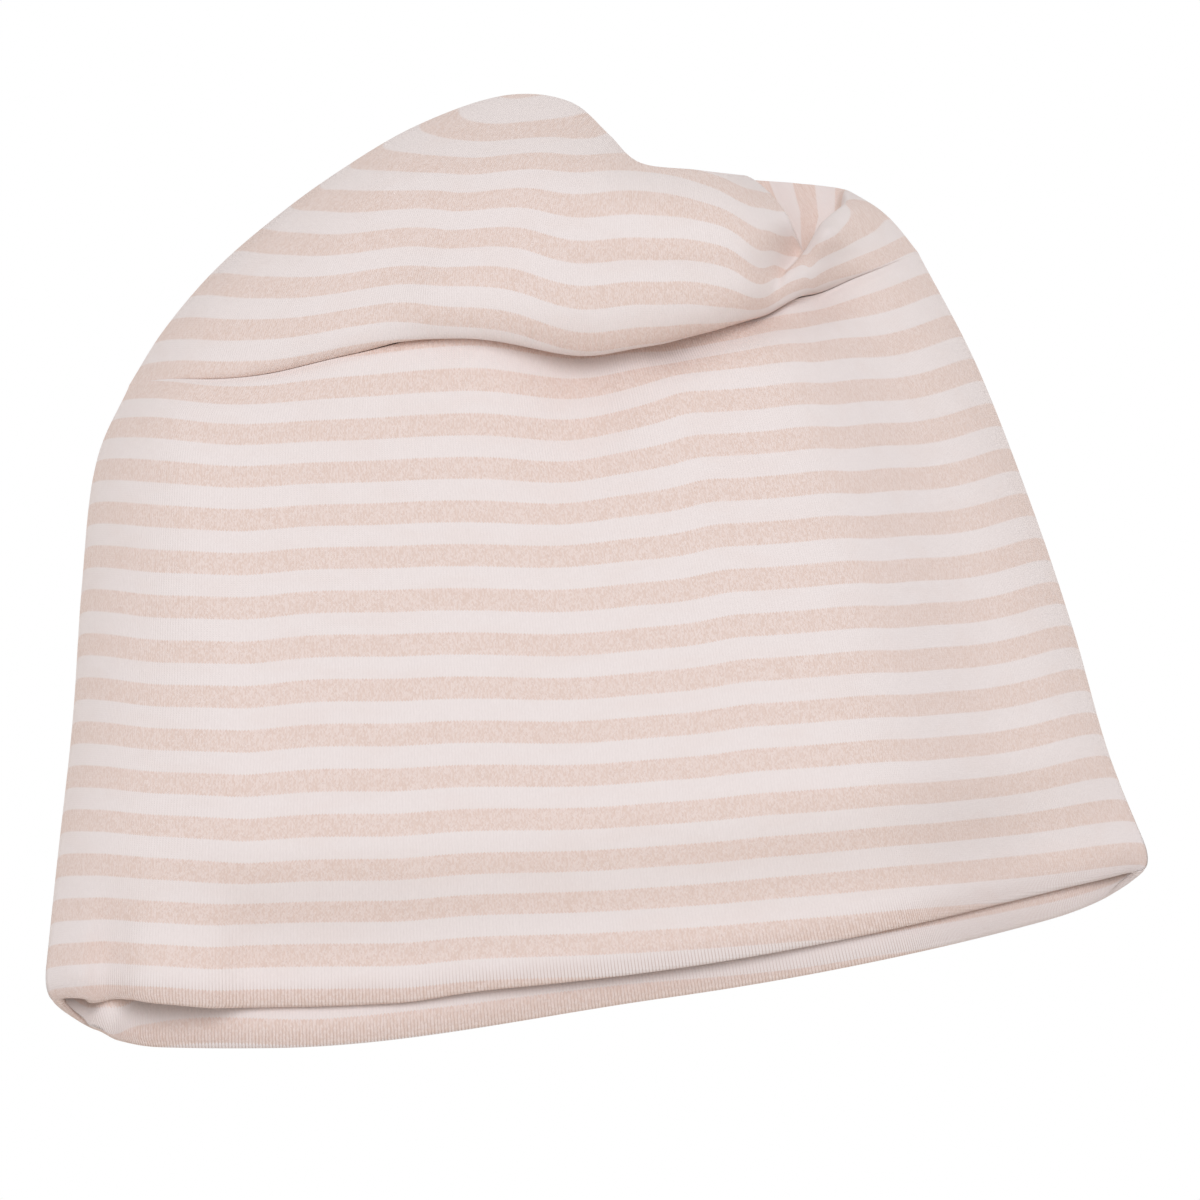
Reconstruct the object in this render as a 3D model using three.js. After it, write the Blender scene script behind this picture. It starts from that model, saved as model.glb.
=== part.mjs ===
// A knitted nightcap of doubled striped jersey, lying on its back as it is laid down when it is
// taken off: a wide side band, open at its hem, and a loose crown that droops over the seam between
// the two. Millimetres, X across the cap, Y from the hem to the top of the crown, Z up.
// Each piece is one closed solid: a tube of cloth with an upper and a lower sheet, joined by a fold
// at each side, and with a wall of its own thickness all round. Folds, dents and the roll of the
// crown over the seam come from the short tables below.
import * as THREE from 'three';

// Cloth
const WALL = 2;
const SEAM_GAP = 0.65;
const HEM_ROUND = 0.7;

// How the empty cap lies: its side folds, how far in from them it is full, and its lower sheet
const FOLD_HEIGHT = 6;
const SIDE_FULLNESS = 40;
const TOP_FULLNESS = 0.85;
const FLOOR_ROUND = 9;
const LOWER_HEM = { leftReach: 8, rightReach: 2.3, from: -0.6, to: 0.1, share: 0.2, cornerRound: 24 };

// Grid of each sheet
const COLUMNS = 40;
const BAND_STEPS = 14;
const EDGE_CROWDING = 0.6;

// Side band, a row for each section from the hem (0) to the seam (1): where its two side folds lie,
// how far the section is drawn towards the brow at its left and its right, with what power of the
// distance from the middle that dies away, and how high its upper sheet stands
const BAND_SECTIONS = [
  { along: 0, leftX: -124.5, leftY: -93, rightX: 124.5, rightY: -94, leftSag: -11.5, rightSag: -11.5, power: 2, height: 14 },
  { along: 0.2, leftX: -118, leftY: -61, rightX: 118.5, rightY: -66, leftSag: -10.5, rightSag: -10.5, power: 2.4, height: 21 },
  { along: 0.4, leftX: -111, leftY: -28, rightX: 115, rightY: -35, leftSag: -9.5, rightSag: -9.5, power: 2.8, height: 27 },
  { along: 0.6, leftX: -105.5, leftY: 4, rightX: 110, rightY: -4, leftSag: -9, rightSag: -9, power: 3.2, height: 30 },
  { along: 0.8, leftX: -99.5, leftY: 32, rightX: 103, rightY: 30, leftSag: -8, rightSag: -10, power: 5, height: 30 },
  { along: 1, leftX: -90, leftY: 50, rightX: 94, rightY: 59, leftSag: -8, rightSag: -13, power: 6, height: 28 },
];
const SAG_CHANGE = { from: -0.3, to: 0.6 };

// Outline of the crown, from the left end of the seam over its top to the right end
const CROWN_OUTLINE = [
  { name: 'left end of the seam', x: -90, y: 50 },
  { name: 'left shoulder', x: -81, y: 62 },
  { name: 'left slope', x: -67.5, y: 75.5 },
  { name: 'left slope, upper', x: -49.5, y: 88.5 },
  { name: 'left corner', x: -39.5, y: 94.5 },
  { name: 'top, left', x: -15, y: 106 },
  { name: 'top', x: 7, y: 110.5 },
  { name: 'top, right', x: 20, y: 106.5 },
  { name: 'down to the saddle', x: 27.3, y: 97 },
  { name: 'saddle', x: 33, y: 88.5 },
  { name: 'right of the saddle', x: 46, y: 85 },
  { name: 'right top', x: 67, y: 80.5 },
  { name: 'right corner', x: 80, y: 77.5 },
  { name: 'right slope', x: 88.5, y: 68.5 },
  { name: 'right end of the seam', x: 94, y: 59 },
];
const LEFT_CORNER = 4;
const RIGHT_CORNER = 12;

// The crown's droop over the seam, by place across the cap: how far its roll hangs forward of the
// seam, and how high it stands above it
const DROOP = [
  { across: -1.0, forward: 0, lift: 0 },
  { across: -0.9, forward: 0, lift: 0.5 },
  { across: -0.7, forward: 1, lift: 4 },
  { across: -0.4, forward: 2, lift: 8 },
  { across: -0.1, forward: 8.5, lift: 13 },
  { across: 0.15, forward: 12, lift: 16 },
  { across: 0.42, forward: 8, lift: 14 },
  { across: 0.6, forward: 3.8, lift: 11 },
  { across: 0.72, forward: 1.5, lift: 8 },
  { across: 0.86, forward: 0.2, lift: 3.5 },
  { across: 0.94, forward: 0, lift: 1 },
  { across: 1.0, forward: 0, lift: 0 },
];
const DROOP_CLEARANCE = 0.9;
const ROLL_REACH = 5;

// Crown, a row for each section from the seam to the top: its share of the way to the top edge, of
// the droop's forward reach, and of the droop's lift where the cloth rolls over the seam and where
// it rises gently from it
const CROWN_SECTIONS = [
  { toTop: 0.0, forward: 0.0, lift: 0.04, gentle: 0.0 },
  { toTop: 0.012, forward: 0.45, lift: 0.05, gentle: 0.04 },
  { toTop: 0.024, forward: 0.82, lift: 0.11, gentle: 0.08 },
  { toTop: 0.036, forward: 1.0, lift: 0.28, gentle: 0.13 },
  { toTop: 0.05, forward: 1.0, lift: 0.48, gentle: 0.18 },
  { toTop: 0.065, forward: 0.85, lift: 0.7, gentle: 0.24 },
  { toTop: 0.08, forward: 0.56, lift: 0.87, gentle: 0.3 },
  { toTop: 0.1, forward: 0.2, lift: 0.97, gentle: 0.38 },
  { toTop: 0.17, forward: 0.04, lift: 1.0, gentle: 0.6 },
  { toTop: 0.27, forward: 0.0, lift: 0.97, gentle: 0.82 },
  { toTop: 0.38, forward: 0.0, lift: 0.9, gentle: 0.89 },
  { toTop: 0.5, forward: 0.0, lift: 0.8, gentle: 0.8 },
  { toTop: 0.62, forward: 0.0, lift: 0.66, gentle: 0.66 },
  { toTop: 0.74, forward: 0.0, lift: 0.5, gentle: 0.5 },
  { toTop: 0.84, forward: 0.0, lift: 0.36, gentle: 0.36 },
  { toTop: 0.92, forward: 0.0, lift: 0.25, gentle: 0.25 },
  { toTop: 0.975, forward: 0.0, lift: 0.18, gentle: 0.18 },
  { toTop: 1.0, forward: 0.0, lift: 0.12, gentle: 0.12 },
];

// Folds of the upper sheet: soft valleys (negative heights) and ridges (positive ones), each along
// a straight line from one place to another
const FOLDS = [
  { name: 'valley under the droop', x1: 14, y1: 38, h1: -8, x2: 3, y2: -12, h2: 0, width: 13 },
  { name: 'bulge left of the valley', x1: -38, y1: 44, h1: 3, x2: -14, y2: 44, h2: 4, width: 13 },
  { name: 'hollow under the droop', x1: 34, y1: 40, h1: -5, x2: 66, y2: 46, h2: -4, width: 9 },
  { name: 'hem sagging at the left', x1: -82, y1: -100, h1: -5, x2: -48, y2: -104, h2: -5, width: 14 },
  { name: 'soft ridge at the left', x1: -82, y1: 34, h1: 2, x2: -79, y2: -86, h2: 1, width: 10 },
  { name: 'upper left lobe', x1: -22, y1: 80, h1: 5, x2: 30, y2: 72, h2: 6, width: 20 },
  { name: 'crease below the pocket', x1: 53, y1: 43, h1: -1, x2: 66, y2: 54, h2: -7, width: 5 },
  { name: 'ridge beside the crease', x1: 60, y1: 44, h1: 2, x2: 72, y2: 55, h2: 4, width: 5 },
  { name: 'ridge beside the pocket', x1: 72, y1: 55, h1: 4, x2: 83, y2: 72, h2: 6, width: 5 },
];

// The pocket at the crown's right, open at the top: it starts at a point, between the edge of the
// lobe at its left and the ridge at its right, and its floor falls from the point to the rim
const POCKET = {
  point: { x: 66, y: 54 },
  lobe: { x: 56.5, y: 80, side: 6 },
  ridge: { x: 80, y: 76, side: 8 },
  lowest: { atPoint: 13, atRim: 8.5 },
};

// A smooth curve through one column of a table
function columnCurve(rows, place, name) {
  const places = rows.map((row) => row[place]);
  const values = rows.map((row) => row[name]);
  const curve = new THREE.CubicInterpolant(places, values, 1);
  return (at) => curve.evaluate(at)[0];
}

// Rise of a rounded edge: 0 at the edge, 1 where the cloth is full
function rounded(share) {
  const left = 1 - THREE.MathUtils.clamp(share, 0, 1);
  return Math.sqrt(1 - left * left);
}

// Height that the folds add to the upper sheet at a place
function foldHeight(x, y) {
  let height = 0;
  for (const fold of FOLDS) {
    const runX = fold.x2 - fold.x1;
    const runY = fold.y2 - fold.y1;
    const reach = ((x - fold.x1) * runX + (y - fold.y1) * runY) / (runX * runX + runY * runY);
    const share = THREE.MathUtils.clamp(reach, 0, 1);
    const away = Math.hypot(x - fold.x1 - share * runX, y - fold.y1 - share * runY);
    const depth = THREE.MathUtils.lerp(fold.h1, fold.h2, share);
    height += depth * Math.exp(-((away / fold.width) ** 2));
  }
  return height;
}

// Distance of a place to the right of the line from one place to another
function rightOf(x, y, from, to) {
  const runX = to.x - from.x;
  const runY = to.y - from.y;
  return ((x - from.x) * runY - (y - from.y) * runX) / Math.hypot(runX, runY);
}

// Height of the upper sheet with the pocket sunk into it
function sinkPocket(x, y, height) {
  const { point, lobe, ridge, lowest } = POCKET;
  const lobeShare = THREE.MathUtils.smoothstep(rightOf(x, y, point, lobe), 0, lobe.side);
  const ridgeShare = THREE.MathUtils.smoothstep(-rightOf(x, y, point, ridge), 0, ridge.side);
  const reach = THREE.MathUtils.clamp((y - point.y) / (ridge.y - point.y), 0, 1);
  const low = Math.min(height, THREE.MathUtils.lerp(lowest.atPoint, lowest.atRim, reach));
  return THREE.MathUtils.lerp(height, low, lobeShare * ridgeShare);
}

// Height of a sheet at a place, `inward` from its side fold and `fromTop` from the top edge: the
// upper one rises to `full`, the lower one lies on the floor
function sheetHeight(upper, place, full, inward, fromTop, topFullness) {
  if (upper) {
    const fullness = rounded(inward / SIDE_FULLNESS) * rounded(fromTop / topFullness);
    const raised = FOLD_HEIGHT + (full - FOLD_HEIGHT + foldHeight(place.x, place.y)) * fullness;
    return sinkPocket(place.x, place.y, raised);
  }
  return FOLD_HEIGHT * (1 - rounded(inward / FLOOR_ROUND) * rounded(fromTop / FLOOR_ROUND));
}

const bandCurve = {};
for (const name of ['leftX', 'leftY', 'rightX', 'rightY', 'leftSag', 'rightSag', 'power', 'height']) {
  bandCurve[name] = columnCurve(BAND_SECTIONS, 'along', name);
}

// A point of the side band's outside, across from -1 (left fold) to 1 (right fold)
function bandPoint(across, along, upper) {
  const share = (across + 1) / 2;
  const leftX = bandCurve.leftX(along);
  const rightX = bandCurve.rightX(along);
  const inward = (1 - Math.abs(across)) * (rightX - leftX) / 2;
  const chordY = THREE.MathUtils.lerp(bandCurve.leftY(along), bandCurve.rightY(along), share);
  const rightward = THREE.MathUtils.smoothstep(across, SAG_CHANGE.from, SAG_CHANGE.to);
  const sag = THREE.MathUtils.lerp(bandCurve.leftSag(along), bandCurve.rightSag(along), rightward);
  const point = new THREE.Vector3();
  point.x = THREE.MathUtils.lerp(leftX, rightX, share);
  point.y = chordY + sag * (1 - Math.abs(across) ** bandCurve.power(along));
  if (!upper) {
    const { leftReach, rightReach, from, to } = LOWER_HEM;
    const reach = THREE.MathUtils.lerp(leftReach, rightReach, THREE.MathUtils.smoothstep(across, from, to));
    point.y -= reach * rounded(inward / LOWER_HEM.cornerRound) * Math.max(0, 1 - along / LOWER_HEM.share);
  }
  point.z = sheetHeight(upper, point, bandCurve.height(along), inward, Infinity, 1);
  return point;
}

const outline = CROWN_OUTLINE.map((place) => new THREE.Vector3(place.x, place.y, 0));
const seamLeft = outline[0];
const seamRight = outline[outline.length - 1];
const leftEdge = new THREE.CatmullRomCurve3(outline.slice(0, LEFT_CORNER + 1));
const topEdge = new THREE.CatmullRomCurve3(outline.slice(LEFT_CORNER, RIGHT_CORNER + 1));
const rightEdge = new THREE.CatmullRomCurve3(outline.slice(RIGHT_CORNER).reverse());
const droopForward = columnCurve(DROOP, 'across', 'forward');
const droopLift = columnCurve(DROOP, 'across', 'lift');

// A place in the crown seen from above, where its cloth is stretched between the seam and its edges
function crownPlace(across, toTop) {
  const share = (across + 1) / 2;
  const betweenSides = leftEdge.getPointAt(toTop).lerp(rightEdge.getPointAt(toTop), share);
  const betweenEnds = bandPoint(across, 1, true).setZ(0).lerp(topEdge.getPointAt(share), toTop);
  const low = seamLeft.clone().lerp(seamRight, share);
  const high = outline[LEFT_CORNER].clone().lerp(outline[RIGHT_CORNER], share);
  return betweenSides.add(betweenEnds).sub(low.lerp(high, toTop));
}

// A point of the crown's outside
function crownPoint(across, section, upper) {
  const point = crownPlace(across, section.toTop);
  const width = rightEdge.getPointAt(section.toTop).x - leftEdge.getPointAt(section.toTop).x;
  const inward = (1 - Math.abs(across)) * width / 2;
  const length = crownPlace(across, 0).distanceTo(crownPlace(across, 1));
  const fromTop = (1 - section.toTop) * length;
  const rolled = THREE.MathUtils.clamp(droopForward(across) / ROLL_REACH, 0, 1);
  const lift = droopLift(across) * THREE.MathUtils.lerp(section.gentle, section.lift, rolled);
  const full = bandCurve.height(1) + lift;
  point.z = sheetHeight(upper, point, full, inward, fromTop, TOP_FULLNESS * length);
  point.y += SEAM_GAP;
  if (upper) {
    const forward = droopForward(across) * section.forward;
    point.y -= forward;
    point.z += DROOP_CLEARANCE * rounded(section.forward) * rounded(droopForward(across) / DROOP_CLEARANCE);
  }
  return point;
}

// Column of the grid to its place across a sheet, closer together at the side folds
function acrossAt(column) {
  const even = 2 * column / COLUMNS - 1;
  const crowded = -Math.cos(Math.PI * column / COLUMNS);
  return THREE.MathUtils.lerp(even, crowded, EDGE_CROWDING);
}

// A tube of cloth as one solid: rings of points round it, from its open end to its other end, that
// are doubled by an inner face at the depth of the wall. The other end is open too, or sewn shut.
function clothTube(sections, pointAt, material, { shut, lipRound }) {
  const around = 2 * COLUMNS;
  const points = [];
  for (const section of sections) {
    for (let i = 0; i < around; i += 1) {
      const upper = i <= COLUMNS;
      points.push(pointAt(acrossAt(upper ? i : around - i), section, upper));
    }
  }
  const lastRing = sections.length - 1;
  const outerRings = sections.map((section, ring) => {
    const joined = (i) => (shut && ring === lastRing && i > COLUMNS ? around - i : i);
    return Array.from({ length: around }, (unused, i) => ring * around + joined(i));
  });

  const outerFaces = stripsBetween(outerRings);
  const outside = new THREE.BufferGeometry().setFromPoints(points);
  outside.setIndex(outerFaces);
  outside.computeVertexNormals();
  const normals = outside.getAttribute('normal');
  const inner = points.map((point, i) => {
    const normal = new THREE.Vector3().fromBufferAttribute(normals, i);
    return point.clone().addScaledVector(normal, -WALL);
  });
  const innerRings = outerRings.map((ring) => ring.map((i) => i + points.length));
  const lip = outerRings[0].map((i) => points[i].clone().lerp(inner[i], 0.5));
  lip.forEach((point) => point.setY(point.y - lipRound));
  const lipRing = lip.map((point, i) => 2 * points.length + i);

  const innerFaces = outerFaces.map((i) => i + points.length).toReversed();
  const lipFaces = stripsBetween([innerRings[0], lipRing, outerRings[0]]);
  if (!shut) {
    lipFaces.push(...stripsBetween([outerRings[lastRing], innerRings[lastRing]]));
  }
  const geometry = new THREE.BufferGeometry().setFromPoints([...points, ...inner, ...lip]);
  geometry.setIndex([...outerFaces, ...innerFaces, ...lipFaces]);
  geometry.computeVertexNormals();
  return new THREE.Mesh(geometry, material);
}

// Triangles between each ring of points and the next, with diagonals that lean towards the middle
// of each sheet
function stripsBetween(rings) {
  const triangles = [];
  for (let ring = 0; ring + 1 < rings.length; ring += 1) {
    const near = rings[ring];
    const far = rings[ring + 1];
    for (let i = 0; i < near.length; i += 1) {
      const next = (i + 1) % near.length;
      if (i % COLUMNS < COLUMNS / 2) {
        triangles.push(near[i], near[next], far[i], near[next], far[next], far[i]);
      } else {
        triangles.push(near[i], near[next], far[next], near[i], far[next], far[i]);
      }
    }
  }
  return triangles;
}

function makeSideBand() {
  const sections = Array.from({ length: BAND_STEPS + 1 }, (unused, step) => step / BAND_STEPS);
  const jersey = new THREE.MeshStandardMaterial({ color: 0xeadbd5, roughness: 0.95, metalness: 0 });
  const band = clothTube(sections, bandPoint, jersey, { shut: false, lipRound: HEM_ROUND });
  band.name = 'side_band';
  return band;
}

function makeCrown() {
  const jersey = new THREE.MeshStandardMaterial({ color: 0xe8d7d0, roughness: 0.95, metalness: 0 });
  const crown = clothTube(CROWN_SECTIONS, crownPoint, jersey, { shut: true, lipRound: 0 });
  crown.name = 'crown';
  return crown;
}

const nightcap = new THREE.Group();
nightcap.add(makeSideBand(), makeCrown());
export default nightcap;
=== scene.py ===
"""A knitted nightcap of doubled striped jersey, lying on its back as it is laid down.

Two sewn pieces of cloth, a side band and a crown that droops over the seam between them, are laid
out by the same tables as the CAD part, much finer, with their creases and stripes added. Places in
the tables are millimetres in the part's own frame.
"""

import math

import bpy
import numpy as np
from mathutils import Matrix, Vector


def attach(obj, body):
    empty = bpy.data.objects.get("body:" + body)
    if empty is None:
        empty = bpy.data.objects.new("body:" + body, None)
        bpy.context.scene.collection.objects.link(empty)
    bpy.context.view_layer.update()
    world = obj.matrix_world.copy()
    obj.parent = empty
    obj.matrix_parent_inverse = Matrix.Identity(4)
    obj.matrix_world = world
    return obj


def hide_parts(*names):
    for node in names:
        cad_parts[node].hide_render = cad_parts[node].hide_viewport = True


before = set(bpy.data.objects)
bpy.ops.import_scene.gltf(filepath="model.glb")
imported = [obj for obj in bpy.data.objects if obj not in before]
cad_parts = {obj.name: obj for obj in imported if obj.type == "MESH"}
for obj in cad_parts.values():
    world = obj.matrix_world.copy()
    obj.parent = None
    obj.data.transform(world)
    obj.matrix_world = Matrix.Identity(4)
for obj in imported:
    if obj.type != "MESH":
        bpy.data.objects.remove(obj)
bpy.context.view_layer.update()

MM = 0.001

# Cloth
WALL = 2.0
SEAM_GAP = 0.15
CLOTH_ROUND = 480.0
LIP_STEPS = 7
LIP_STRIPE = 0.2
OPEN_WIDTH = 3.5
WALE = 0.5
STRIPE_COURSES = 20
STRIPES_GAINED = 2

# How the empty cap lies
FOLD_HEIGHT = 6.0
SIDE_FULLNESS = 40.0
TOP_FULLNESS = 0.85
FLOOR_ROUND = 9.0
HEM_LEFT_REACH = 7.0
HEM_RIGHT_REACH = 2.3
HEM_CHANGE = (-0.6, 0.1)
HEM_SHARE = 0.2
HEM_CORNER = 24.0
HEM_DEPTH = 0.22
HEM_ROUND = 3.0
HEM_ROUND_SHARE = 0.05
SLIDE = 0.364

# Grid of each piece, closer together at the folds, the seam and the dent
COLUMNS = 180
BAND_ROWS = 130
CROWN_ROWS = 124
COLUMN_CROWDING = [(-1, 2.0, 0.12), (1, 2.0, 0.12), (0.7, 2.2, 0.12)]
BAND_CROWDING = [(0, 1.5, 0.03), (1, 3.0, 0.025)]
CROWN_CROWDING = [(0, 4.0, 0.06), (0.5, 0.6, 0.2), (1, 3.0, 0.06)]

# How deep and wide the seam draws the upper sheet in, and over what share at its ends that fades
SEAM_SINK = 0.8
SEAM_WIDTH = 1.6
SEAM_END = 0.08

# Yarn colours, a painted shade for the gaps between stitches where the knit opens, the depth of the
# knit and the floor's reach in metres, and where in a stripe, from its middle, the beige yarn ends
WHITE_YARN = (0.92, 0.80, 0.745, 1)
WHITE_SHADE = (0.87, 0.745, 0.69, 1)
BEIGE_YARN = (0.80, 0.60, 0.505, 1)
BEIGE_LIGHT = (0.92, 0.755, 0.68, 1)
BEIGE_FLECK = (0.62, 0.41, 0.32, 1)
# Painted shade: the dark brown given to the gaps between stitches where the knit opens at the fold
PAINTED_GAP_SHADE = (0.55, 0.34, 0.25, 1)
KNIT_DEPTH = 0.0002
STRIPE_EDGE = (0.235, 0.265)
FLOOR_REACH = 9

# Camera and light, in metres and degrees
CAMERA_TARGET = (0.010, -0.016, 0.010)
CAMERA_AZIMUTH = -7.5
CAMERA_ELEVATION = 70.0
CAMERA_DISTANCE = 1.6
CAMERA_LENS = 213.1
SKY = 0.55
LAMP = 10.0
SKY_TINT = (0.985, 1.0, 1.02)
LAMP_TINT = (0.925, 1.0, 1.105)
LAMP_PLACE = (0.05, 0.0, 1.4)


def table(names, rows):
    """The columns of a table by their names."""
    return dict(zip(names.split(), np.array(rows, float).T))


BAND = table("along left_x left_y right_x right_y left_sag right_sag power height", [
    (0.0, -124.5, -92.4, 124.5, -93.8, -11.5, -11.5, 2, 14),
    (0.2, -118, -61, 118.5, -66, -10.5, -10.5, 2.4, 21),
    (0.4, -111, -28, 115, -35, -9.5, -9.5, 2.8, 27),
    (0.6, -105.5, 4, 110, -4, -9, -9, 3.2, 30),
    (0.8, -99.5, 32, 103, 30, -8, -10, 5, 30),
    (1.0, -90, 50, 94, 59, -8, -13, 6, 28),
])
SAG_CHANGE = (-0.3, 0.6)

# Height of the near edge of the opening, which almost lies on the far one at its left
HEM = table("across height", [
    (-1.0, 6), (-0.96, 8.5), (-0.93, 9), (-0.9, 7), (-0.87, 8.5), (-0.83, 12), (-0.77, 12),
    (-0.7, 10), (-0.65, 5.5), (-0.61, 4.6), (-0.5, 4.5), (-0.4, 4.6), (-0.28, 5.5), (-0.1, 6.5),
    (0.2, 6.5), (0.4, 5.2), (0.85, 5), (0.95, 6), (1.0, 6),
])

# How much lower than its plain curve the seam runs
SEAM_DIP = table("across lower", [
    (-1.0, 0), (-0.9, 0.5), (-0.78, 2.1), (-0.66, 2.8), (-0.54, 2.5), (-0.42, 2.2), (-0.25, 1),
    (-0.1, 0), (1.0, 0),
])

# Outline of the crown: up its left side, over its top and down its right side
LEFT_SIDE = table("x y", [(-90, 50), (-81, 62), (-67.5, 75.5), (-49.5, 88.5), (-39.5, 94.5)])
TOP_EDGE = table("x y", [
    (-39.5, 94.5), (-15, 106), (7, 110.5), (20, 106.5), (27.3, 97), (33, 88.5), (46, 85),
    (67, 80.5), (80, 77.5),
])
RIGHT_SIDE = table("x y", [(94, 59), (88.5, 68.5), (80, 77.5)])

DROOP = table("across forward lift", [
    (-1.0, 0, 0), (-0.9, 0, 0.5), (-0.7, 1, 4), (-0.4, 2, 8), (-0.1, 8.5, 13), (0.15, 12, 16),
    (0.42, 8, 14), (0.6, 3.8, 11), (0.72, 1.5, 8), (0.86, 0.2, 3.5), (0.94, 0, 1), (1.0, 0, 0),
])
DROOP_CLEARANCE = 0.9
ROLL_REACH = 5.0

CROWN = table("to_top forward lift gentle", [
    (0.0, 0.0, 0.04, 0.0), (0.012, 0.45, 0.05, 0.04), (0.024, 0.82, 0.11, 0.08),
    (0.036, 1.0, 0.28, 0.13), (0.05, 1.0, 0.48, 0.18), (0.065, 0.85, 0.7, 0.24),
    (0.08, 0.56, 0.87, 0.3), (0.1, 0.2, 0.97, 0.38), (0.17, 0.04, 1.0, 0.6),
    (0.27, 0.0, 0.97, 0.82), (0.38, 0.0, 0.9, 0.89), (0.5, 0.0, 0.8, 0.8),
    (0.62, 0.0, 0.66, 0.66), (0.74, 0.0, 0.5, 0.5), (0.84, 0.0, 0.36, 0.36),
    (0.92, 0.0, 0.25, 0.25), (0.975, 0.0, 0.18, 0.18), (1.0, 0.0, 0.12, 0.12),
])

# Soft valleys (negative) and ridges (positive) of the upper sheet, from one place to another
FOLDS = table("x1 y1 h1 x2 y2 h2 width", [
    (14, 38, -8, 3, -12, 0, 13),
    (-38, 44, 3, -14, 44, 4, 13),
    (34, 40, -8, 66, 46, -6, 9),
    (-82, -100, -5, -48, -104, -5, 14),
    (-82, 34, 2, -79, -86, 1, 10),
    (-22, 80, 5, 30, 72, 6, 20),
    (53, 44, -1, 64, 56, -5, 4),
    (61, 45.5, 2, 72, 55.5, 4.5, 3.7),
    (72, 55.5, 4.5, 82.5, 68, 5, 4.5),
])

# A crease that ends in the pocket: the cloth steps down at its left
CREASE_START = (56.0, 45.0)
CREASE_DEPTH = 5.0
CREASE_SIDE = 1.3
CREASE_WIDTH = 5.0

# Folds of the lower sheet at the opening
FAR_FOLDS = table("x1 y1 h1 x2 y2 h2 width", [
    (-108.5, -92, 3.2, -113.5, -101, 0.8, 2.6),
])

# The pocket at the crown's right, open at the top: it starts at a point, between the edge of the
# lobe at its left and the ridge at its right
POCKET_POINT = (66.0, 54.0)
POCKET_LOBE = (56.5, 80.0)
POCKET_RIDGE = (77.5, 68.0)
POCKET_END = (79.5, 76.0)
POCKET_LOBE_SIDE = 3.5
POCKET_RIDGE_SIDE = 2.0
POCKET_LOW = 13.0
POCKET_RIM = 8.0
POCKET_STRIPES = (6.35, 3.95)

# Stripes, charted: the number of the stripe at places across the cloth and at hundredths of
# the cloth's own length, 0 at the hem of the band and at the seam of the crown. Between these
# places the stripes are evenly spaced, as they are knitted.
BAND_STRIPES = table("across at_0 at_50 at_100", [
    (-1.0, 0, 7.15, 14.2), (-0.85, 0, 7.5, 14.4), (-0.5, 0, 7.4, 14.75), (0.0, 0.35, 8.2, 15.4),
    (0.5, 0.95, 8.5, 15.5), (0.85, 1.55, 9.05, 15.75), (1.0, 1.65, 9.05, 15.75),
])
CROWN_STRIPES = table("across at_0 at_25 at_50 at_75 at_100", [
    (-1.0, -0.1, 1.2, 2.4, 3.4, 4.4),
    (-0.75, -0.1, 1.8, 3.4, 4.7, 5.3),
    (-0.5, 0, 2.4, 4.4, 5.7, 6.2),
    (-0.25, -0.1, 2.5, 4.9, 6.4, 7),
    (0.0, -0.5, 2, 4.5, 6, 6.4),
    (0.3, -0.3, 1.8, 4, 4.9, 5.1),
    (0.5, 0.4, 2.5, 4.4, 5.2, 5.6),
    (0.62, 0.8, 3.6, 5, 5.6, 6),
    (0.7, 1.1, 3.5, 4.8, 5.6, 6.2),
    (0.8, 1.6, 3.4, 3.7, 4, 4.3),
    (1.0, 1.75, 2.35, 2.95, 3.5, 3.85),
])
LOWER_HEM = table("across stripe", [
    (-1.0, 2), (-0.91, 1.95), (-0.84, 2.3), (-0.5, 2.4), (0.0, 2.3), (0.5, 1.95), (1.0, 1.65),
])


def curve(places, values, at):
    """A smooth curve through the values of a table's column."""
    slopes = np.diff(values) / np.diff(places)
    tangents = np.concatenate([slopes[:1], (slopes[1:] + slopes[:-1]) / 2, slopes[-1:]])
    i = np.clip(np.searchsorted(places, at, "right") - 1, 0, len(places) - 2)
    span = places[i + 1] - places[i]
    t = (at - places[i]) / span
    return (
        values[i] * (1 + 2 * t) * (1 - t) ** 2
        + values[i + 1] * t ** 2 * (3 - 2 * t)
        + tangents[i] * span * t * (1 - t) ** 2
        - tangents[i + 1] * span * t ** 2 * (1 - t)
    )


def rounded(share):
    """Rise of a rounded edge: 0 at the edge, 1 where the cloth is full."""
    return np.sqrt(1 - (1 - np.clip(share, 0, 1)) ** 2)


def between(a, b, share):
    """The value at a share of the way from a to b."""
    return a + (b - a) * share


def smoothstep(low, high, value):
    """0 below low, 1 above high, and a smooth rise between."""
    t = np.clip((value - low) / (high - low), 0, 1)
    return t * t * (3 - 2 * t)


def edge_point(edge, share):
    """Place at a share of the length of a smooth edge through the places of its table."""
    knots = np.column_stack([edge["x"], edge["y"]])
    knots = np.vstack([2 * knots[0] - knots[1], knots, 2 * knots[-1] - knots[-2]])
    spans = np.sqrt(np.linalg.norm(np.diff(knots, axis=0), axis=1))
    t = np.linspace(0, 1, 60)[:, None]
    path = []
    for (a, b, c, d), (before, span, after) in zip(
        zip(knots, knots[1:], knots[2:], knots[3:]), zip(spans, spans[1:], spans[2:])
    ):
        leave = span * ((b - a) / before - (c - a) / (before + span) + (c - b) / span)
        arrive = span * ((c - b) / span - (d - b) / (span + after) + (d - c) / after)
        path.append(
            b * (1 + 2 * t) * (1 - t) ** 2 + c * t ** 2 * (3 - 2 * t)
            + leave * t * (1 - t) ** 2 - arrive * t ** 2 * (1 - t)
        )
    path = np.vstack(path)
    length = np.append(0, np.cumsum(np.linalg.norm(np.diff(path, axis=0), axis=1)))
    share = np.asarray(share, float) * length[-1]
    return np.interp(share, length, path[:, 0]), np.interp(share, length, path[:, 1])


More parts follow.
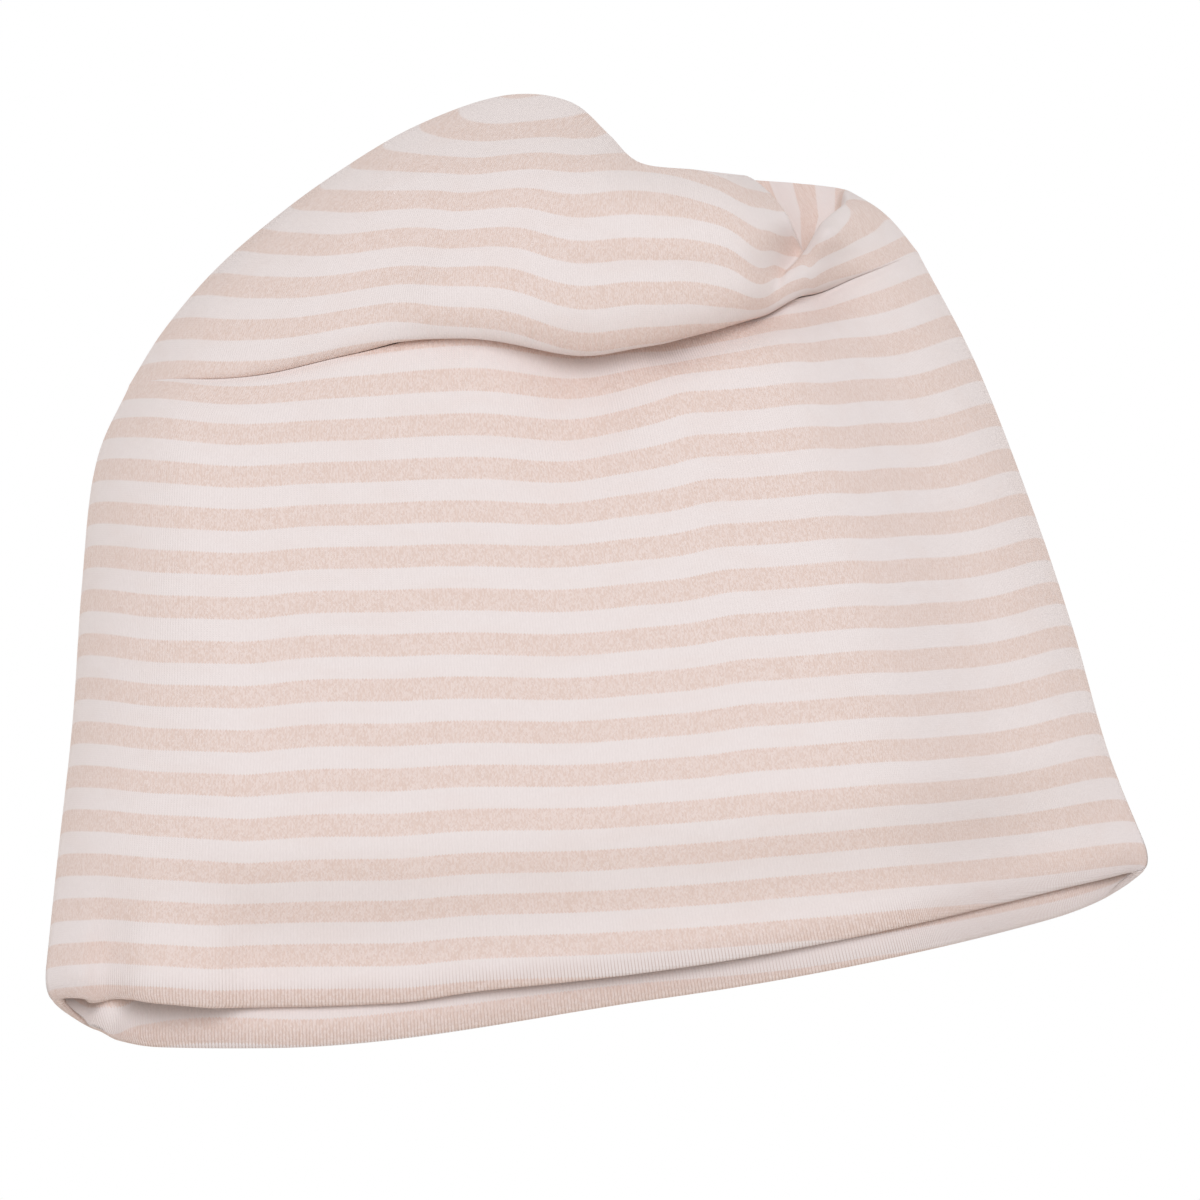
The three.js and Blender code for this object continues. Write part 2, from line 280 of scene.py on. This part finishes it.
def fold_height(folds, x, y):
    """Height that a table of folds adds to a sheet at a place."""
    height = np.zeros_like(x)
    for x1, y1, h1, x2, y2, h2, width in zip(*folds.values()):
        run_x, run_y = x2 - x1, y2 - y1
        share = np.clip(((x - x1) * run_x + (y - y1) * run_y) / (run_x ** 2 + run_y ** 2), 0, 1)
        away = np.hypot(x - x1 - share * run_x, y - y1 - share * run_y)
        height += between(h1, h2, share) * np.exp(-((away / width) ** 2))
    return height


def inside_line(x, y, start, end):
    """Distance of places to the right of the line from start to end."""
    run_x, run_y = end[0] - start[0], end[1] - start[1]
    return ((x - start[0]) * run_y - (y - start[1]) * run_x) / math.hypot(run_x, run_y)


def crease_depth(x, y):
    """How far the sheet steps down at the left of the crease."""
    run_x, run_y = POCKET_POINT[0] - CREASE_START[0], POCKET_POINT[1] - CREASE_START[1]
    reached = (x - CREASE_START[0]) * run_x + (y - CREASE_START[1]) * run_y
    share = reached / (run_x ** 2 + run_y ** 2)
    away = np.maximum(-inside_line(x, y, CREASE_START, POCKET_POINT), 0)
    step = smoothstep(0, CREASE_SIDE, away) * np.exp(-away / CREASE_WIDTH)
    return CREASE_DEPTH * step * smoothstep(0, 1, share) * (1 - smoothstep(1, 1.6, share))


def pocket_place(x, y):
    """How far a place is sunk into the pocket, and its share of the way from lobe to ridge."""
    from_lobe = inside_line(x, y, POCKET_POINT, POCKET_LOBE)
    from_ridge = -np.maximum(
        inside_line(x, y, POCKET_POINT, POCKET_RIDGE), inside_line(x, y, POCKET_RIDGE, POCKET_END)
    )
    sunk = smoothstep(0, POCKET_LOBE_SIDE, from_lobe) * smoothstep(0, POCKET_RIDGE_SIDE, from_ridge)
    return sunk, from_lobe / np.maximum(from_lobe + from_ridge, 0.1)


def sink_pocket(x, y, z):
    """The upper sheet's height with the pocket sunk into it."""
    sunk, _ = pocket_place(x, y)
    along = (y - POCKET_POINT[1]) / (POCKET_END[1] - POCKET_POINT[1])
    floor = between(POCKET_LOW, POCKET_RIM, np.clip(along, 0, 1))
    return between(z, np.minimum(z, floor), sunk)


def sheet_height(upper, x, y, full, inward, from_top, top_fullness):
    """Height of a sheet: the upper one rises to `full`, the lower one lies on the floor."""
    fullness = rounded(inward / SIDE_FULLNESS) * rounded(from_top / top_fullness)
    folded = fold_height(FOLDS, x, y) - crease_depth(x, y)
    raised = FOLD_HEIGHT + (full - FOLD_HEIGHT + folded) * fullness
    raised = sink_pocket(x, y, raised)
    lying = FOLD_HEIGHT * (1 - rounded(inward / FLOOR_ROUND) * rounded(from_top / FLOOR_ROUND))
    return np.where(upper, raised, lying)


def band_at(name, along):
    """A measure of the band's sections at a share of the way from hem to seam."""
    return curve(BAND["along"], BAND[name], along)


def band_points(across, along, upper):
    """Points of the side band's outside, across from -1 (left fold) to 1 (right fold)."""
    share = (across + 1) / 2
    left_x, right_x = band_at("left_x", along), band_at("right_x", along)
    inward = (1 - np.abs(across)) * (right_x - left_x) / 2
    x = between(left_x, right_x, share)
    x = x - HEM_ROUND * (1 - rounded(along / HEM_ROUND_SHARE)) * across ** 9
    y = between(band_at("left_y", along), band_at("right_y", along), share)
    sag = between(
        band_at("left_sag", along), band_at("right_sag", along), smoothstep(*SAG_CHANGE, across)
    )
    y = y + sag * (1 - np.abs(across) ** band_at("power", along))
    y = y - curve(SEAM_DIP["across"], SEAM_DIP["lower"], across) * smoothstep(0.85, 1, along)
    reach = between(HEM_LEFT_REACH, HEM_RIGHT_REACH, smoothstep(*HEM_CHANGE, across))
    reach = reach * rounded(inward / HEM_CORNER) ** 2
    y = y - np.where(upper, 0, reach * np.clip(1 - along / HEM_SHARE, 0, 1))
    z = sheet_height(upper, x, y, band_at("height", along), inward, np.inf, 1)
    hem = curve(HEM["across"], HEM["height"], across)
    lowered = (z - hem) * (1 - smoothstep(0, HEM_DEPTH, along))
    raised = fold_height(FAR_FOLDS, x, y) * rounded(inward / FLOOR_ROUND)
    y = y + np.where(upper, SLIDE * lowered, 0)
    return np.stack([x, y, z + np.where(upper, -lowered, raised)], -1)


def crown_place(across, to_top):
    """Place in the crown seen from above, its cloth stretched between the seam and its edges."""
    share = (across + 1) / 2
    left_x, left_y = edge_point(LEFT_SIDE, to_top)
    right_x, right_y = edge_point(RIGHT_SIDE, to_top)
    top_x, top_y = edge_point(TOP_EDGE, share)
    seam = band_points(across, 1.0, True)
    low_x, low_y = (between(LEFT_SIDE[c][0], RIGHT_SIDE[c][0], share) for c in "xy")
    high_x, high_y = (between(LEFT_SIDE[c][-1], RIGHT_SIDE[c][-1], share) for c in "xy")
    x = between(left_x, right_x, share) + between(seam[..., 0], top_x, to_top)
    y = between(left_y, right_y, share) + between(seam[..., 1], top_y, to_top)
    return x - between(low_x, high_x, to_top), y - between(low_y, high_y, to_top)


def crown_at(name, to_top):
    """A measure of the crown's sections at a share of the way from seam to top."""
    return curve(CROWN["to_top"], CROWN[name], to_top)


def crown_points(across, to_top, upper):
    """Points of the crown's outside, from the seam (0) to the top (1)."""
    x, y = crown_place(across, to_top)
    width = edge_point(RIGHT_SIDE, to_top)[0] - edge_point(LEFT_SIDE, to_top)[0]
    inward = (1 - np.abs(across)) * width / 2
    low, high = crown_place(across, np.zeros_like(to_top)), crown_place(across, np.ones_like(to_top))
    length = np.hypot(high[0] - low[0], high[1] - low[1])
    from_top = (1 - to_top) * length
    forward = curve(DROOP["across"], DROOP["forward"], across)
    rolled = np.clip(forward / ROLL_REACH, 0, 1)
    lift_share = between(crown_at("gentle", to_top), crown_at("lift", to_top), rolled)
    lift = curve(DROOP["across"], DROOP["lift"], across) * lift_share
    z = sheet_height(
        upper, x, y, BAND["height"][-1] + lift, inward, from_top, TOP_FULLNESS * length
    )
    reach = crown_at("forward", to_top)
    clear = DROOP_CLEARANCE * rounded(reach) * rounded(forward / DROOP_CLEARANCE)
    y = y + SEAM_GAP - np.where(upper, reach * forward, 0)
    return np.stack([x, y, z + np.where(upper, clear, 0)], -1)


def crowded(first, last, count, places):
    """Numbers from first to last, crowded near each (place, how much, how wide)."""
    fine = np.linspace(first, last, 4001)
    near = [more * np.exp(-(((fine - place) / wide) ** 2)) for place, more, wide in places]
    density = 1 + sum(near)
    total = np.append(0, np.cumsum((density[1:] + density[:-1]) / 2))
    return np.interp(np.linspace(0, total[-1], count), total, fine)


def ring_across():
    """Places across the cap round a tube: its upper sheet left to right, then the lower one back."""
    across = crowded(-1, 1, COLUMNS + 1, COLUMN_CROWDING)
    upper = np.arange(2 * COLUMNS) <= COLUMNS
    return np.concatenate([across, across[-2:0:-1]]), upper


def grid_normals(points, shut):
    """Outward normals of a tube of points, by the directions to their neighbours."""
    around = np.roll(points, -1, 1) - np.roll(points, 1, 1)
    along = np.gradient(points, axis=0)
    normal = np.cross(around, along)
    if shut:
        other = np.roll(normal[-1, ::-1], 1, 0)
        normal[-1] = normal[-1] / np.linalg.norm(normal[-1], axis=-1, keepdims=True)
        normal[-1] += other / np.linalg.norm(other, axis=-1, keepdims=True)
    return normal / np.maximum(np.linalg.norm(normal, axis=-1, keepdims=True), 1e-9)


def round_edge(outer, inner, outward, steps):
    """Rings of a half circle of cloth from the inner ring to the outer one, bulging outward."""
    middle, half = (outer + inner) / 2, (outer - inner) / 2
    radius = np.linalg.norm(half, axis=-1, keepdims=True)
    turn = np.linspace(math.pi, 0, steps + 2)[1:-1, None, None]
    return middle + half * np.cos(turn) + outward * radius * np.sin(turn)


def cloth_tube(name, points, stripes, gained, shut):
    """A tube of cloth with its wall, from rings of outside points: doubled inside, its open end
    rounded over. The stripes carry on inside from that fold, and gain some going once round. The
    knit opens at the fold, where its bump is raised and painted shade darkens the gaps between
    stitches."""
    inner = points - WALL * grid_normals(points, shut)
    outward = points[0] - points[1]
    outward /= np.linalg.norm(outward, axis=-1, keepdims=True)
    lip = round_edge(points[0], inner[0], outward, LIP_STEPS)
    grid = np.concatenate([inner[::-1], lip, points])
    lip_stripes = stripes[0] - LIP_STRIPE * np.linspace(1, 0, LIP_STEPS + 2)[1:-1, None]
    inner_stripes = 2 * stripes[0] - LIP_STRIPE - stripes[::-1]
    stripes = np.concatenate([inner_stripes, lip_stripes, stripes])
    rows, around = grid.shape[:2]
    wales = WALE * np.arange(around + 1) * round(CLOTH_ROUND / WALE) / around
    closed = np.hstack([stripes, stripes[:, :1] + gained])
    cloth = np.stack([np.broadcast_to(wales, closed.shape), closed], -1)

    row, i = np.meshgrid(np.arange(rows - 1), np.arange(around), indexing="ij")
    corners = [(row, i), (row, i + 1), (row + 1, i + 1), (row + 1, i)]
    faces = np.stack([r * around + c % around for r, c in corners], -1).reshape(-1, 4)
    places = np.stack([cloth[r, c] for r, c in corners], -2).reshape(-1, 4, 2)
    last = (rows - 1) * around
    if shut:
        joined = np.arange(rows * around)
        lower = np.arange(COLUMNS + 1, around)
        for ring in (0, last):
            joined[ring + lower] = ring + around - lower
        faces = joined[faces]
    else:
        c = np.arange(around)
        after = (c + 1) % around
        faces = np.vstack([faces, np.stack([last + c, last + after, after, c], -1)])
        places = np.concatenate([places, np.repeat(cloth[-1, :-1, None], 4, 1)])
    # Where the knit opens at the fold: there the bump is raised and painted shade darkens the gaps
    # between stitches
    opened = np.exp(-((np.linalg.norm(points - points[:1], axis=-1) / OPEN_WIDTH) ** 2))
    if shut:
        opened *= 0
    opened = np.concatenate([opened[::-1], np.repeat(opened[:1], LIP_STEPS, 0), opened])
    used, faces = np.unique(faces, return_inverse=True)
    faces = faces.reshape(-1, 4)

    mesh = bpy.data.meshes.new(name)
    mesh.from_pydata((grid.reshape(-1, 3)[used] * MM).tolist(), [], faces.tolist())
    mesh.uv_layers.new(name="cloth").data.foreach_set("uv", places.ravel())
    mesh.attributes.new("opened", "FLOAT", "POINT").data.foreach_set("value", opened.ravel()[used])
    mesh.polygons.foreach_set("use_smooth", np.ones(len(faces), bool))
    mesh.update()
    obj = bpy.data.objects.new(name, mesh)
    bpy.context.scene.collection.objects.link(obj)
    return obj


def cloth_length(points):
    """Length of the cloth from the first ring of points to each of them."""
    steps = np.linalg.norm(np.diff(points, axis=0), axis=-1)
    return np.vstack([np.zeros_like(steps[:1]), np.cumsum(steps, 0)])


def stripe_numbers(chart, across, points):
    """Stripe number at each of the points, evenly along the cloth between the places charted."""
    names = [name for name in chart if name.startswith("at_")]
    shares = np.array([int(name[3:]) / 100 for name in names])
    length = cloth_length(points)
    counted = np.stack([curve(chart["across"], chart[name], across) for name in names], -1)
    columns = zip(counted, (length / length[-1]).T)
    return np.stack([curve(shares, count, share) for count, share in columns], -1)


def between_folds(stripes, across):
    """Stripe numbers that run straight across the lower sheet from one side fold to the other."""
    return between(stripes[:, :1], stripes[:, COLUMNS:COLUMNS + 1], (across + 1) / 2)


def sink_seam(points, across, upper, seam):
    """The upper sheet drawn down a little along the seam, which is its first or last ring."""
    length = cloth_length(points)
    depth = SEAM_SINK * np.exp(-(((length - length[seam]) / SEAM_WIDTH) ** 2))
    depth *= np.where(upper, smoothstep(0, SEAM_END, 1 - np.abs(across)), 0)
    return points - depth[..., None] * np.array([0, 0, 1])


def make_band():
    """The side band, whose lower sheet carries on the upper one's stripes round both folds."""
    across, upper = ring_across()
    along = crowded(0, 1, BAND_ROWS, BAND_CROWDING)
    points = band_points(across[None], along[:, None], upper[None])
    stripes = stripe_numbers(BAND_STRIPES, across, points)
    plain = between_folds(stripes, across) + STRIPES_GAINED * (1 - across) / 2
    hem = curve(LOWER_HEM["across"], LOWER_HEM["stripe"], across)
    lower = plain + (hem - plain[0]) * (1 - along[:, None]) ** 2
    stripes = np.where(upper, stripes, lower)
    points = sink_seam(points, across, upper, -1)
    return cloth_tube("side_band_cloth", points, stripes, STRIPES_GAINED, False)


def make_crown():
    """The crown, whose lower sheet is finished plainly."""
    across, upper = ring_across()
    to_top = crowded(0, 1, CROWN_ROWS, CROWN_CROWDING)
    points = crown_points(across[None], to_top[:, None], upper[None])
    sunk, over = pocket_place(points[..., 0], points[..., 1])
    stripes = stripe_numbers(CROWN_STRIPES, across, points)
    points = sink_seam(points, across, upper, 0)
    pocket = between(*POCKET_STRIPES, np.clip(over, 0, 1))
    top = between(stripes[-1], pocket[-1], sunk[-1])
    plain = between_folds(stripes, across)
    lower = plain + (top - plain[-1]) * to_top[:, None] ** 2
    stripes = np.where(upper, between(stripes, pocket, sunk), lower)
    return cloth_tube("crown_cloth", points, stripes, 0, True)


class Value:
    """A number in a node tree, so that sums of them are written as sums."""

    def __init__(self, nodes, socket):
        self.nodes, self.socket = nodes, socket

    def math(self, operation, *others):
        inputs = dict(enumerate((self, *others)))
        return self.nodes.value("ShaderNodeMath", 0, {"operation": operation}, inputs)

    def __add__(self, other):
        return self.math("ADD", other)

    def __sub__(self, other):
        return self.math("SUBTRACT", other)

    def __rsub__(self, other):
        return (self * -1) + other

    def __mul__(self, other):
        return self.math("MULTIPLY", other)

    def __truediv__(self, other):
        return self.math("DIVIDE", other)

    def __rtruediv__(self, other):
        return self.math("POWER", -1) * other

    def __abs__(self):
        return self.math("ABSOLUTE")

    def floor(self):
        return self.math("FLOOR")

    def over(self, low, high):
        """0 below low, 1 above high, and a smooth step between."""
        node = self.nodes.add("ShaderNodeMapRange", {"interpolation_type": "SMOOTHSTEP"}, {
            "Value": self, "From Min": low, "From Max": high,
        })
        return Value(self.nodes, node.outputs["Result"])

    __radd__, __rmul__ = __add__, __mul__


class Finish:
    """A material's nodes, each added with its settings first and then its inputs."""

    def __init__(self, name):
        self.material = bpy.data.materials.new(name)
        self.material.use_nodes = True
        self.tree = self.material.node_tree
        self.tree.nodes.clear()

    def add(self, kind, settings, inputs):
        node = self.tree.nodes.new(kind)
        for name, value in settings.items():
            setattr(node, name, value)
        for key, value in inputs.items():
            value = value.socket if isinstance(value, Value) else value
            if isinstance(value, bpy.types.NodeSocket):
                self.tree.links.new(value, node.inputs[key])
            else:
                node.inputs[key].default_value = value
        return node

    def value(self, kind, output, settings, inputs):
        return Value(self, self.add(kind, settings, inputs).outputs[output])

    def mix(self, share, a, b):
        """A colour between two colours."""
        node = self.add("ShaderNodeMix", {"data_type": "RGBA"}, {0: share, 6: a, 7: b})
        return node.outputs[2]


def striped_jersey():
    """Fine interlock jersey: white and heathered beige stripes that change colour by the stitch."""
    finish = Finish("striped_jersey")
    uv = finish.add("ShaderNodeUVMap", {"uv_map": "cloth"}, {})
    split = finish.add("ShaderNodeSeparateXYZ", {}, {0: uv.outputs[0]})
    round_cloth, stripe = (Value(finish, split.outputs[axis]) for axis in "XY")

    wale = round_cloth / WALE
    off_middle = abs(wale - wale.floor() - 0.5) * 2
    course = stripe * STRIPE_COURSES - off_middle * 0.7
    row = course.floor()
    along_stitch = course - row
    leg = finish.add("ShaderNodeCombineXYZ", {}, {0: (wale * 2).floor(), 1: row})
    chance = finish.value("ShaderNodeTexWhiteNoise", "Value", {"noise_dimensions": "2D"}, {
        "Vector": leg.outputs[0],
    })

    fibre_place = finish.add("ShaderNodeCombineXYZ", {}, {0: wale * 1.7, 1: course * 1.7})
    fibre = finish.value("ShaderNodeTexNoise", "Fac", {"noise_dimensions": "2D"}, {
        "Vector": fibre_place.outputs[0], "Scale": 1.0, "Detail": 2.0, "Roughness": 0.6,
    })
    patch_place = finish.add("ShaderNodeCombineXYZ", {}, {0: wale * 0.04, 1: course * 0.08})
    patch = finish.value("ShaderNodeTexNoise", "Fac", {"noise_dimensions": "2D"}, {
        "Vector": patch_place.outputs[0], "Scale": 1.0, "Detail": 2.0,
    })

    in_stripe = (row + 0.5) / STRIPE_COURSES
    from_middle = abs(in_stripe - (in_stripe + 0.5).floor())
    beige = 1 - (from_middle + (fibre - 0.5) * 0.04).over(*STRIPE_EDGE)

    white = finish.mix(chance * 0.4 + fibre * 0.6, WHITE_SHADE, WHITE_YARN)
    heather = finish.mix((chance * 0.5 + fibre * 0.5).over(0.2, 0.85), BEIGE_YARN, BEIGE_LIGHT)
    fleck = (chance * 0.5 + fibre * 0.7).over(0.78, 0.95)
    heather = finish.mix(fleck * 0.6, heather, BEIGE_FLECK)
    colour = finish.mix(beige, white, heather)
    colour = finish.mix(patch.over(0.4, 0.75) * 0.1, colour, BEIGE_YARN)

    opened = finish.value("ShaderNodeAttribute", "Fac", {"attribute_name": "opened"}, {})
    # Painted shade darkens the gaps between stitches where the knit opens at the fold
    between_courses = abs(along_stitch - 0.5) * 2
    painted_gap_shade = opened * (off_middle.over(0.6, 1.0) * 0.6 + between_courses.over(0.7, 1.0) * 0.2)
    colour = finish.mix(painted_gap_shade, colour, PAINTED_GAP_SHADE)

    ridge = (1 - off_middle * off_middle) * (1 + opened * 2)
    loop = 1 - between_courses
    height = ridge * 0.6 + ridge * loop * 0.4 + fibre * 0.5
    knit = finish.add("ShaderNodeBump", {}, {"Strength": 0.5, "Distance": KNIT_DEPTH, "Height": height})
    cloth = finish.add("ShaderNodeBsdfPrincipled", {}, {
        "Base Color": colour, "Roughness": 0.95, "Sheen Weight": 0.15, "Sheen Roughness": 0.6,
        "Specular IOR Level": 0.15, "Normal": knit.outputs[0],
    })
    finish.add("ShaderNodeOutputMaterial", {}, {0: cloth.outputs[0]})
    return finish.material


def white_floor():
    """The pale ground that the cap lies on."""
    finish = Finish("white_floor")
    glow = finish.add("ShaderNodeEmission", {}, {"Color": (1, 1, 1, 1), "Strength": 1.0})
    finish.add("ShaderNodeOutputMaterial", {}, {0: glow.outputs[0]})
    mesh = bpy.data.meshes.new("floor")
    corners = [(-1, -1), (1, -1), (1, 1), (-1, 1)]
    mesh.from_pydata([(x * FLOOR_REACH, y * FLOOR_REACH, 0) for x, y in corners], [], [(0, 1, 2, 3)])
    mesh.materials.append(finish.material)
    floor = bpy.data.objects.new("floor", mesh)
    bpy.context.scene.collection.objects.link(floor)


def set_camera():
    """A long lens from above the hem, as the photograph is taken."""
    turn, tip = math.radians(CAMERA_AZIMUTH), math.radians(CAMERA_ELEVATION)
    back = Vector((math.sin(turn) * math.cos(tip), -math.cos(turn) * math.cos(tip), math.sin(tip)))
    right = Vector((math.cos(turn), math.sin(turn), 0))
    camera = bpy.data.objects.new("camera", bpy.data.cameras.new("camera"))
    camera.data.sensor_width = 36
    camera.data.lens = CAMERA_LENS
    camera.matrix_world = Matrix((right, back.cross(right), back)).transposed().to_4x4()
    camera.location = Vector(CAMERA_TARGET) + CAMERA_DISTANCE * back
    bpy.context.scene.collection.objects.link(camera)
    bpy.context.scene.camera = camera


def set_light():
    """White all round, and a large soft light above."""
    world = bpy.data.worlds.new("white_room")
    world.use_nodes = True
    sky = world.node_tree.nodes["Background"]
    sky.inputs["Color"].default_value = (*SKY_TINT, 1)
    sky.inputs["Strength"].default_value = SKY
    bpy.context.scene.world = world
    lamp = bpy.data.lights.new("soft_light", "AREA")
    lamp.shape, lamp.size, lamp.energy, lamp.color = "DISK", 1.0, LAMP, LAMP_TINT
    light = bpy.data.objects.new("soft_light", lamp)
    light.location = LAMP_PLACE
    light.rotation_euler = (-Vector(LAMP_PLACE)).to_track_quat("-Z", "Y").to_euler()
    bpy.context.scene.collection.objects.link(light)
    bpy.context.scene.view_settings.view_transform = "Standard"


set_camera()
set_light()
white_floor()
jersey = striped_jersey()
for cloth, node in ((make_band(), "side_band"), (make_crown(), "crown")):
    cloth.data.materials.append(jersey)
    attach(cloth, "root")
    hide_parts(node)
